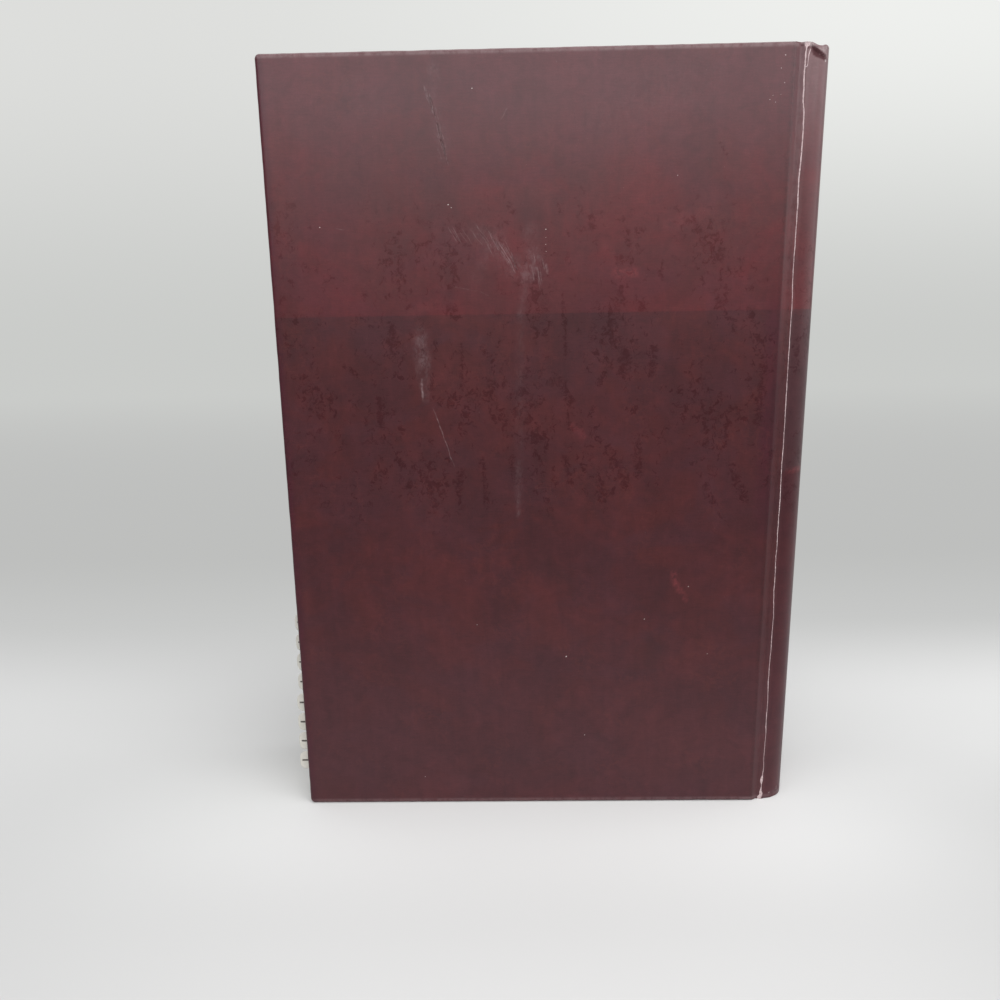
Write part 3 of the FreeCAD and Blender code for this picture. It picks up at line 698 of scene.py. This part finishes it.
def crush_marks(run, z):
    """Painted shade under the crushed head's fold and in the tail's hollow, with two small dark spots, and frayed
    paper and pale dots at the head and tail of the spine's edge.
    """
    c, h = run - CRACK_RUN, HEIGHT - z
    crease_shade = fray = dot = 0.0
    if -3 < c < 9 and h < 9:
        folded, far = crush_lines(c)
        across = ramp(c, 1.2, 1.9) * ramp(c, 7.5, 6.6)
        crease_shade = across * ramp(h, folded - 0.1, folded + 0.25) * ramp(h, far + 0.25, far - 0.3)
        rough = 0.5 + wobble(c * 3, h * 3, 1.3, 2.2)
        crease_shade = max(crease_shade, ramp(abs(c + 1.3), 0.75, 0.3) * ramp(abs(h - 0.9), 0.45, 0.15) * 0.8)
        crease_shade = max(crease_shade, ramp(math.hypot(c - 0.6, h - 1.55), 0.42, 0.18) * 0.9)
        fray = ramp(abs(c - 0.75), 2.0, 1.0) * ramp(h, 1.35, 0.7) * (0.35 + 1.1 * rough)
        lip = ramp(c, 1.8, 2.4) * ramp(c, 8.0, 6.8) * ramp(h, folded + 0.1, folded - 0.3)
        fray = max(fray, 0.34 * lip * 2 * rough)
        dot = ramp(math.hypot(c - 7.0, h - 4.3), 0.48, 0.2)
    if z < 6 and c > -1:
        dot = max(dot, 0.8 * ramp(math.hypot(c - 2.9, z - 1.9), 0.4, 0.15))
        crease_shade = max(crease_shade, 0.55 * ramp(math.hypot((c - 4.6) / 1.6, z - 1.1), 0.8, 0.3))
        fray = max(fray, 0.35 * ramp(abs(math.hypot(c - 7.1, z - 3.0) - 0.9), 0.35, 0.1))
    return min(crease_shade, 1.0), min(max(fray, 0.0), 1.0), dot


def folded_sheet(name, samples, rows, worn=False, materials=(), split=None):
    """The covering over these samples, with its turn-ins folded in at head and tail."""
    points, uv, marks = [], [], []
    turned = (2.0, 8.0, TURN_IN)
    middle = (HEIGHT - TURN_IN, 180.0, 120.0, 60.0, TURN_IN)
    loop = [("out", z) for z in rows] + [("head", k) for k in range(12)]
    loop += [("in", HEIGHT - z) for z in turned] + [("mid", z) for z in middle]
    loop += [("in", z) for z in reversed(turned)] + [("tail", k) for k in reversed(range(12))]
    for i, (x, y, slope, run, inner_x, inner_y, ease) in enumerate(samples):
        doubled = math.hypot(inner_x - x, inner_y - y)
        toward = ((inner_x - x) / doubled, (inner_y - y) / doubled)
        inward = (-math.sin(slope), math.cos(slope))
        edge = fold(doubled, ease, min(ease, 0.3))
        for kind, value in loop:
            if kind == "out":
                z = min(max(value, ease), HEIGHT - ease)
                depth, v = 0.0, value
            elif kind in ("head", "tail"):
                off, depth = edge[value]
                z = HEIGHT - off if kind == "head" else off
                v = HEIGHT + depth if kind == "head" else -depth
            elif kind == "in":
                z, depth = value, doubled
                v = -value - doubled if value < HEIGHT / 2 else 2 * HEIGHT - value + doubled
            else:
                z, depth = value, SHEET
                v = -value - 20
            direction = inward if kind == "mid" else toward
            px, py = x + direction[0] * depth, y + direction[1] * depth
            u = run
            if worn:
                wander, left, right = crack_line(z)
                shift = {"o": min(156.5 - SPLIT - wander, -left - 0.26),
                         "n": min(156.85 - SPLIT, -left - 0.12),
                         "L": -left, "l": -left + 0.03, "m": 0.0, "r": right - 0.03, "R": right}
                if split[i] in shift:
                    move = wander + shift[split[i]] - (x - SPLIT)
                    px += move
                    u += move
                    if kind == "out" and split[i] in "lmr":
                        py += (0.07 if split[i] == "m" else 0.05) + 0.05 * wobble(i * 3.0, z, 0.7, 9.0)
                elif "R" in split and SPLIT < x:
                    move = max(wander + right + 0.07 * (i - split.index("R")) - (x - SPLIT), 0.0)
                    px += move
                    u += move
                if kind != "mid":
                    py -= ridge(px)
                push, drop = crushed_head(u, z)
                push += worn_tail(u, z)
                px -= inward[0] * push
                py -= inward[1] * push
                z += drop if kind != "mid" else 0.0
                z = min(z, HEIGHT)
                marks.append(crush_marks(u, z) if kind != "mid" else (0.0, 0.0, 0.0))
            points.append((px, py, z))
            uv.append((u, v))
    faces = grid_faces(len(samples), len(loop), wrap=True)
    torn = None
    if split:
        torn = [int(a in "Llmr" and b in "lmrR" and kind in ("out", "head", "tail"))
                for a, b in zip(split, split[1:]) for kind, _ in loop]
    obj = make(name, points, faces, uv, materials, torn)
    mark_covering(obj, uv)
    if worn:
        # The crushed head's painted shade, fray and pale dots
        store(obj, "crushed", marks)
    return obj


def side_tear():
    """The second tear beside the crack at the head, as bare paper laid on the covering."""
    points, uv = [], []
    runs = [item[3] for item in half]
    for i, (c, h) in enumerate(SIDE_TEAR):
        before, after = SIDE_TEAR[max(i - 1, 0)], SIDE_TEAR[min(i + 1, len(SIDE_TEAR) - 1)]
        along = Vector((after[0] - before[0], after[1] - before[1])).normalized()
        width = 0.1 + 0.05 * wobble(c * 9, h * 9, 3.0, 1.0) + (0.05 if i < 3 else 0.0)
        for side in (-1.0, -0.4, 0.4, 1.0):
            run = CRACK_RUN + c - along.y * width * side
            z = HEIGHT - (h + along.x * width * side)
            x = float(np.interp(run, runs, [item[0] for item in half]))
            y = float(np.interp(run, runs, [item[1] for item in half]))
            push, drop = crushed_head(run, z)
            points.append((x, y - ridge(x) - push - (0.05 if abs(side) < 0.9 else 0.005), z + drop))
            uv.append((run, z))
    return make("side_tear", points, grid_faces(len(SIDE_TEAR), 4), uv, [paper_core])


def panel_y(x, z, front):
    """The slightly uneven outer face of a cover."""
    margin = min(x, z, HEIGHT - z)
    sunk = 0.03 * ramp(margin, 1.5, 6) * ramp(SEAM - x, 0, 6)
    swell = 0.1 * ramp(margin, 2.5, 14) * (0.5 + 0.5 * wobble(x, z, 38.0, 11.0 + front))
    return sunk + swell * ramp(SEAM - x, 0.5, 12)


def panel(name, front=False):
    """A cover's paper from the joint's edge over the fore-edge corners, with mitred turn-ins."""
    nx, nz = (78, 121) if front else (150, 238)
    xs = np.linspace(CORNER, SEAM, nx)
    zs = np.linspace(CORNER, HEIGHT - CORNER, nz)
    points, uv = [], []

    def add(x, y, z, u, v):
        points.append((x, THICKNESS - y if front else y, z))
        uv.append((TOTAL_RUN - u if front else u, v))

    for x in xs:
        for z in zs:
            add(x, panel_y(x, z, front), z, x, z)
    faces = grid_faces(nx, nz)
    corner = steps(0, math.pi / 2, 6)
    ring = [(i * nz, (0.0, -1.0)) for i in range(nx - 1, 0, -1)]
    ring += [(0, (-math.sin(angle), -math.cos(angle))) for angle in corner]
    ring += [(j, (-1.0, 0.0)) for j in range(1, nz - 1)]
    ring += [(nz - 1, (-math.cos(angle), math.sin(angle))) for angle in corner]
    ring += [(i * nz + nz - 1, (0.0, 1.0)) for i in range(1, nx)]
    profile = [(CORNER - off, depth) for off, depth in fold(INNER_FACE, EASE, 0.3)]
    profile += [(-3.0, INNER_FACE), (-8.0, INNER_FACE), (CORNER - TURN_IN, INNER_FACE),
                (CORNER - TURN_IN, INNER_FACE - SHEET)]
    first = len(points)
    for offset, depth in profile:
        travel = offset + depth if offset > 0 else CORNER + INNER_FACE + (CORNER - offset)
        for vertex, normal in ring:
            bx, bz = xs[vertex // nz], zs[vertex % nz]
            if offset >= 0:
                x, z = bx + normal[0] * offset, bz + normal[1] * offset
            else:
                inset = CORNER - offset
                x, z = max(bx, inset), min(max(bz, inset), HEIGHT - inset)
            dent = 0.12 * wobble(bx + normal[0] * 5, bz + normal[1] * 5, 6.0, 2.0 + front)
            dent *= ramp(depth, 0.02, 0.4) * ramp(INNER_FACE - depth, 0.1, 0.6) * ramp(SEAM - bx, 1, 9)
            x -= normal[0] * abs(dent)
            z -= normal[1] * abs(dent)
            add(x, depth, z, bx + normal[0] * travel, bz + normal[1] * travel)
    count = len(ring)
    for k in range(count - 1):
        a, b = ring[k][0], ring[k + 1][0]
        faces.append((a, *([b] if b != a else []), first + k + 1, first + k))
    faces += grid_faces(len(profile), count, first)
    obj = make(name, points, faces, uv, [covering])
    mark_covering(obj, uv)
    return obj


rows = [0.4, 0.9] + [round(1.4 + 0.7 * i, 3) for i in range(16)]
rows += [round(13 + 1.5 * i, 3) for i in range(143)]
rows += [round(HEIGHT - 12.2 + 0.45 * i, 3) for i in range(12)]
rows += [round(HEIGHT - 6.8 + 0.22 * i, 3) for i in range(29)] + [HEIGHT - 0.3]
rows = sorted(set(rows))
joint_rows = [z for z in rows if z < 12 or z > HEIGHT - 12.3] + [12.4 + 0.55 * i for i in range(391)]
joint_rows = sorted(set(joint_rows))
coarse = [0.4, 0.9, 1.5] + [3.0 + 2.0 * i for i in range(118)] + [HEIGHT - 1.5, HEIGHT - 0.9, HEIGHT - 0.4]
coarse = sorted(set(coarse))

# The crack's columns: bare paper between two torn edges
tags = {156.5: "o", 156.85: "n", 157.1: "L", 157.2: "l", 157.6: "m", 157.9: "r"}
joint = list(half[:seam_index + 1])
split = [tags.get(round(item[0], 3), "-") for item in joint]
right_edge = split.index("r")
joint.insert(right_edge + 1, joint[right_edge])
split.insert(right_edge + 1, "R")
covering = covering_print_and_painted_light()
back_skin = panel("back_cover_skin")
back_joint = folded_sheet("back_joint_cover", joint, joint_rows, True, [covering, paper_core], split)
front_skin = panel("front_cover_skin", front=True)
front_half = [mirror_sample(item) for item in half]
front_joint = folded_sheet("front_joint_cover", front_half[:seam_index + 1][::-1], coarse, materials=[covering])
spine_samples = list(half[seam_index:]) + front_half[seam_index:-1][::-1]
spine_skin = folded_sheet("spine_skin", spine_samples, rows, True, [covering], ["-"] * len(spine_samples))

fine_marks()
tear = side_tear()
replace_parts(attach(back_skin, "back_cover"), "back_cover_sheet")
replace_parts(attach(front_skin, "front_cover"), "front_cover_sheet")
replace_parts(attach(spine_skin, "block"), "spine_cover_sheet")
for obj, body, y in ((back_joint, "back_cover", 0.0), (tear, "back_cover", 0.0),
                     (front_joint, "front_cover", THICKNESS)):
    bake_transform(obj)


# ------------------------------------------------------------- leaves, tabs, bands
BACK_RADIUS = 48.05274
BACK_EDGE = 5.0
BLOCK_NEAR, BLOCK_FAR = 3.8, 37.8
BLOCK_TAIL, BLOCK_HEAD = 3.0, 237.0
EDGE_CENTRE_X = 158.69932


def back_x(y):
    """Where the block's rounded back lies at this depth."""
    side = min(y - BLOCK_NEAR, BLOCK_FAR - y)
    reach = BACK_EDGE * (1 - math.cos(math.radians(73.816)))
    if side < reach:
        return EDGE_CENTRE_X + math.sqrt(max(BACK_EDGE ** 2 - (BACK_EDGE - side) ** 2, 0.0))
    return ARC_CENTRE + math.sqrt(BACK_RADIUS ** 2 - (y - MIDDLE) ** 2)


def fore_x(y):
    chord = math.sqrt(BACK_RADIUS ** 2 - 17.0 ** 2)
    return 3.0 + math.sqrt(BACK_RADIUS ** 2 - (y - MIDDLE) ** 2) - chord


def text_block():
    """The leaves: bundles of slightly uneven size, so that their edges show on three sides."""
    pick = random.Random(5)
    rings = []
    y = BLOCK_NEAR
    while y < BLOCK_FAR - 0.05:
        thick = min(pick.uniform(0.16, 0.34), BLOCK_FAR - y)
        jog = [pick.uniform(0.0, 0.16) for side in range(3)]
        if pick.random() < 0.06:
            jog[0] += 0.25
        rings += [(y + 0.01, [0.26 + j * 0.3 for j in jog]), (y + thick * 0.28, jog), (y + thick * 0.85, jog)]
        y += thick
    rings.append((BLOCK_FAR, [0.2, 0.2, 0.2]))
    heights, widths = steps(0, 1, 44), steps(0, 1, 12)
    points = []
    for number, (y, jog) in enumerate(rings):
        y = min(max(y, BLOCK_NEAR + 0.002), BLOCK_FAR - 0.002)
        front, back = fore_x(y), back_x(y) - 0.02
        tail, head = BLOCK_TAIL + jog[1], BLOCK_HEAD - jog[2]
        ring = []
        for t in heights:
            z = tail + (head - tail) * t
            sway = 0.1 * max(0.0, wobble(z, number * 0.9, 24.0, 4.0))
            ring.append((front + jog[0] + sway, y, z))
        for t in widths[1:-1]:
            sway = 0.08 * max(0.0, wobble(t * 160, number * 0.9, 30.0, 6.0))
            ring.append((front + (back - front) * t, y, head - sway))
        for t in steps(0, 1, 3):
            ring.append((back, y, head + (tail - head) * t))
        for t in widths[1:-1]:
            sway = 0.08 * max(0.0, wobble(t * 160, number * 0.9, 30.0, 8.0))
            ring.append((back + (front - back) * t, y, tail + sway))
        points += ring
    faces = closed_faces(len(rings), len(ring))
    return make("leaves", points, faces, [(x, z) for x, _, z in points], [leaf_paper], smooth=False)


def index_tab(number):
    """A tab glued to its leaf, with rounded corners, a slight curl and a dark mark across the middle of its height.
    """
    node = "index_tab_%02d" % number
    lo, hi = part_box(node)
    x0, y0, z0 = [(v - s) * 1000 for v, s in zip(lo, SHIFT)]
    _, y1, z1 = [(v - s) * 1000 for v, s in zip(hi, SHIFT)]
    middle, tall = (y0 + y1) / 2, z1 - z0
    pick = random.Random(number)
    curl = pick.uniform(-0.16, 0.16)
    lean = pick.uniform(-0.1, 0.1)
    reach = 7.0 - 0.12 * pick.random()
    edge = x0 + 7.0
    corner = 2.0
    across = [0.0, 0.25, 0.6, 1.1, 2.0, 3.0, 4.0, 5.0, 5.5, 6.2, 6.6, reach]
    up = [0.0, 0.3, 0.8, 1.6, 2.4, tall / 2 - 0.34, tall / 2 + 0.3]
    up += [tall - down for down in (2.4, 1.6, 0.8, 0.3, 0.02)]
    points, faces, marks = [], [], []
    for side in (-1, 1):
        for out in across:
            for z in up:
                over = max(out - (reach - corner), 0.0)
                inset = corner - math.sqrt(max(corner ** 2 - over ** 2, 0.0))
                zz = inset + (tall - 0.02 - 2 * inset) * z / (tall - 0.02)
                bend = curl * (out / reach) ** 2 + lean * (zz / tall - 0.5) * out / reach
                points.append((edge - out, middle + bend + side * 0.09, z0 + 0.01 + zz))
    n, m = len(across), len(up)
    for sheet in (0, 1):
        for i in range(n - 1):
            for j in range(m - 1):
                a = sheet * n * m + i * m + j
                faces.append((a, a + 1, a + m + 1, a + m))
                marks.append(1 if j == 5 and 5 <= i < 9 else 0)
    rim = [i * m for i in range(n)] + [(n - 1) * m + j for j in range(1, m)]
    rim += [i * m + m - 1 for i in range(n - 2, -1, -1)]
    for a, b in zip(rim, rim[1:]):
        faces.append((a, b, b + n * m, a + n * m))
        marks.append(0)
    obj = make("tab_%02d" % number, points, faces, None, [tab_paper, tab_mark], marks)
    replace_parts(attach(obj, "block"), node)


def band(name, node, head):
    """A wound head band: a ribbed bead over the leaves' edge, and its cloth tail on the back."""
    outer = BACK_RADIUS + 0.3
    inner = outer - 0.28
    around, along, stripe = 16, 180, 8
    points = []

    def add(slope, radius, z):
        points.append((ARC_CENTRE + radius * math.cos(slope), MIDDLE + radius * math.sin(slope),
                       z if head else HEIGHT - z))

    for i, slope in enumerate(steps(-STIFFENER_TURN, STIFFENER_TURN, along)):
        rib = 0.055 * math.cos(i * math.pi)
        for j in range(around):
            angle = 2 * math.pi * j / around
            add(slope, outer - 1.1 + (1.02 + rib) * math.cos(angle), 238.08 + (0.98 + rib) * math.sin(angle))
    bead = closed_faces(along + 1, around)
    kinds = [i // stripe % 2 for i in range(along) for j in range(around)] + [0, 0]
    first = len(points)
    for slope in steps(-STIFFENER_TURN, STIFFENER_TURN, 30):
        for radius, z in ((inner, 225.2), (outer, 225.2), (outer, 238.0), (inner, 238.0)):
            add(slope, radius, z)
    tape = closed_faces(31, 4, first)
    kinds += [2] * len(tape)
    obj = make(name, points, bead + tape, None, [thread, band_stripe, mull_cloth], kinds)
    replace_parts(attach(obj, "block"), node)


leaves = text_block()
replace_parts(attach(leaves, "block"), "text_block")
for number in range(1, 32):
    index_tab(number)
band("head_band_thread", "head_band", True)
band("tail_band_thread", "tail_band", False)


# ------------------------------------------------------------- endpapers
def thin_sheet(name, section, bottom, top, depth):
    """A thin sheet along a section path, closed on every side."""
    points, uv = [], []
    run = 0.0
    heights = steps(bottom, top, 40)
    for i, (x, y) in enumerate(section):
        before = section[max(i - 1, 0)]
        after = section[min(i + 1, len(section) - 1)]
        tx, ty = after[0] - before[0], after[1] - before[1]
        length = math.hypot(tx, ty) or 1.0
        nx, ny = -ty / length, tx / length
        if i:
            run += math.hypot(x - section[i - 1][0], y - section[i - 1][1])
        for side in (1, 0):
            for z in (heights if side else reversed(heights)):
                points.append((x + nx * depth * side, y + ny * depth * side, z))
                uv.append((run, z))
    return make(name, points, closed_faces(len(section), 2 * len(heights)), uv, [endpaper])


def smooth_path(corners, count=6):
    """A path through these corners, rounded between their midpoints."""
    path = [corners[0]]
    for a, b, c in zip(corners, corners[1:], corners[2:]):
        start = ((a[0] + b[0]) / 2, (a[1] + b[1]) / 2)
        end = ((b[0] + c[0]) / 2, (b[1] + c[1]) / 2)
        for t in steps(0, 1, count):
            u = 1 - t
            path.append((u * u * start[0] + 2 * u * t * b[0] + t * t * end[0],
                         u * u * start[1] + 2 * u * t * b[1] + t * t * end[1]))
    path.append(corners[-1])
    fine = [path[0]]
    for a, b in zip(path, path[1:]):
        if math.dist(a, b) < 1e-3:
            continue
        pieces = max(1, int(math.dist(a, b) / 5.0))
        fine += [(a[0] + (b[0] - a[0]) * k / pieces, a[1] + (b[1] - a[1]) * k / pieces)
                 for k in range(1, pieces + 1)]
    return fine


def endpapers(side):
    near = side == "back"

    def turned(section):
        return section if near else [(x, THICKNESS - y) for x, y in section]

    sign = 0.15 if near else -0.15
    root = smooth_path([(3.0, 3.65), (60.0, 3.65), (153.6, 3.65), (154.4, 3.55), (155.2, 3.32), (158.0, 3.32)])
    free = thin_sheet(side + "_free_leaf", turned(root), 3.0, 237.0, sign)
    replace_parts(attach(free, "block"), side + "_flyleaf")
    hinge = smooth_path([(153.2, 3.2), (154.2, 3.2), (154.75, 2.85), (154.95, 1.95), (156.2, 1.86),
                         (157.6, 1.9), (158.15, 2.6), (158.05, 3.4)], 5)
    cross = thin_sheet(side + "_endpaper_hinge", turned(hinge), 3.5, 236.5, sign)
    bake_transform(cross)


endpapers("back")
endpapers("front")
for node, material in (("back_board", card), ("front_board", card), ("spine_stiffener", card),
                       ("back_pastedown", pasted_endpaper), ("front_pastedown", pasted_endpaper),
                       ("spine_mull", mull_cloth), ("spine_lining", kraft)):
    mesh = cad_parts[node].data
    mesh.materials.clear()
    mesh.materials.append(material)


# ------------------------------------------------------------- camera, light, surroundings
def camera():
    position = place((72.8, -244.5, 162.3))[0]
    yaw, pitch, roll = (math.radians(a) for a in (-1.046, 12.44, -0.96))
    forward = Vector((math.sin(yaw) * math.cos(pitch), math.cos(yaw) * math.cos(pitch), -math.sin(pitch)))
    right = Vector((math.cos(yaw), -math.sin(yaw), 0))
    up = right.cross(forward)
    across = right * math.cos(roll) + up * math.sin(roll)
    upward = -right * math.sin(roll) + up * math.cos(roll)
    data = bpy.data.cameras.new("camera")
    data.lens = 28.145
    data.sensor_width = 36.0
    data.clip_start, data.clip_end = 0.01, 20.0
    obj = bpy.data.objects.new("camera", data)
    bpy.context.scene.collection.objects.link(obj)
    axes = Matrix((across, upward, -forward)).transposed()
    obj.matrix_world = Matrix.Translation(Vector(position)) @ axes.to_4x4()
    bpy.context.scene.camera = obj


def lamp(name, at, aim, size, power):
    data = bpy.data.lights.new(name, "AREA")
    data.shape = "RECTANGLE"
    data.size, data.size_y = size
    data.energy = power
    obj = bpy.data.objects.new(name, data)
    bpy.context.scene.collection.objects.link(obj)
    obj.location = at
    obj.rotation_mode = "QUATERNION"
    obj.rotation_quaternion = (Vector(aim) - Vector(at)).to_track_quat("-Z", "Y")


def surroundings():
    """A pale floor that curves up into a pale backdrop."""
    profile = [(-2.6 + 0.1 * i, 0.0) for i in range(46)]
    for angle in steps(0, math.pi / 2, 24)[1:]:
        profile.append((1.9 + 0.8 * math.sin(angle), 0.8 - 0.8 * math.cos(angle)))
    profile += [(2.7, 0.9 + 0.1 * i) for i in range(22)]
    points = []
    for y, z in profile:
        for x in (-3.5, 3.5):
            points.append(((x - SHIFT.x) * 1000, (y - SHIFT.y) * 1000, z * 1000))
    n = Nodes("pale_sweep")
    at = n.add("ShaderNodeTexCoord", output=3)
    side, depth, high = n.axes(at)
    # Painted light and shade on the floor: lighter behind the book than far in front, darker in front to the right,
    # and a light pool at the book's foot
    floor = n.mix(n.step(depth, 0.08, -0.11), (0.715, 0.715, 0.71, 1), (0.605, 0.605, 0.601, 1))
    apart = n.vector("DISTANCE", at, (0.0, -0.04, 0.0), output=1)
    foot = n.window(depth, -0.085, -0.035, 0.02, -0.01)
    near = n.mix(foot, (0.672, 0.672, 0.668, 1), (0.785, 0.785, 0.78, 1))
    right = n.times(n.step(side, 0.0, 0.15), n.step(depth, 0.02, -0.05))
    floor = n.over(floor, (0.44, 0.44, 0.437), right, 0.36)
    floor = n.mix(n.step(apart, 0.19, 0.055), floor, near)
    path_kind = n.tree.nodes.new("ShaderNodeLightPath").outputs
    # Painted shade in reflections: glossy rays see the floor in front of the book darker, more so further out
    dimmed = n.linear(n.step(depth, -0.04, -0.38), 0.42, 0.28)
    mirrored = n.times(path_kind["Is Glossy Ray"], dimmed)
    floor = n.over(floor, (0.0, 0.0, 0.0), mirrored)
    # Painted light: seen straight or mirrored, the far part glows with the tone of a lit wall, dimmest a little
    # behind the book and lighter high up and to the right
    wall = n.mix(n.step(depth, 0.06, 0.3), (0.6, 0.605, 0.6, 1), (0.515, 0.52, 0.512, 1))
    wall = n.mix(n.step(depth, 0.3, 1.9), wall, (0.59, 0.6, 0.585, 1))
    bright = n.mix(n.step(side, -1.4, 1.4), (0.725, 0.73, 0.715, 1), (0.86, 0.87, 0.85, 1))
    wall = n.mix(n.step(high, 0.05, 1.25), wall, bright)
    seen = n.most(*(path_kind["Is %s Ray" % kind] for kind in ("Camera", "Glossy", "Transmission")))
    lit = n.times(seen, n.step(depth, 0.05, 0.16))
    far = n.times(path_kind["Is Camera Ray"], n.step(apart, 0.45, 1.5))
    lit = n.most(lit, far)
    material = n.surface(Base_Color=floor, Roughness=0.8)
    diffuse = n.tree.nodes["Principled BSDF"].outputs[0]
    glow = n.add("ShaderNodeEmission", {"Color": wall, "Strength": 1.0})
    both = n.add("ShaderNodeMixShader", {0: lit, 1: diffuse, 2: glow})
    n.tree.links.new(both, n.tree.nodes["Material Output"].inputs[0])
    sweep = make("sweep", points, grid_faces(len(profile), 2), materials=[material])


camera()
surroundings()
lamp("top", (0.0, -0.15, 1.1), (0.0, 0.0, 0.1), (1.3, 1.0), 8.2)
lamp("front", (0.3, -0.9, 0.69), (0.0, 0.0, 0.18), (2.0, 0.6), 11.2)
lamp("right", (1.3, -0.1, 0.6), (0.0, 0.0, 0.15), (1.3, 0.9), 4.4)
world = bpy.data.worlds.new("world")
bpy.context.scene.world = world
world.use_nodes = True
sky = world.node_tree
sky.nodes["Background"].inputs[0].default_value = (0.97, 0.985, 1.0, 1.0)
sky.nodes["Background"].inputs[1].default_value = 0.3
pale = sky.nodes.new("ShaderNodeBackground")
pale.inputs[0].default_value = (0.66, 0.67, 0.66, 1.0)
choice = sky.nodes.new("ShaderNodeMixShader")
sky.links.new(sky.nodes.new("ShaderNodeLightPath").outputs["Is Camera Ray"], choice.inputs[0])
sky.links.new(sky.nodes["Background"].outputs[0], choice.inputs[1])
sky.links.new(pale.outputs[0], choice.inputs[2])
sky.links.new(choice.outputs[0], sky.nodes["World Output"].inputs[0])
bpy.context.scene.view_settings.view_transform = "Standard"
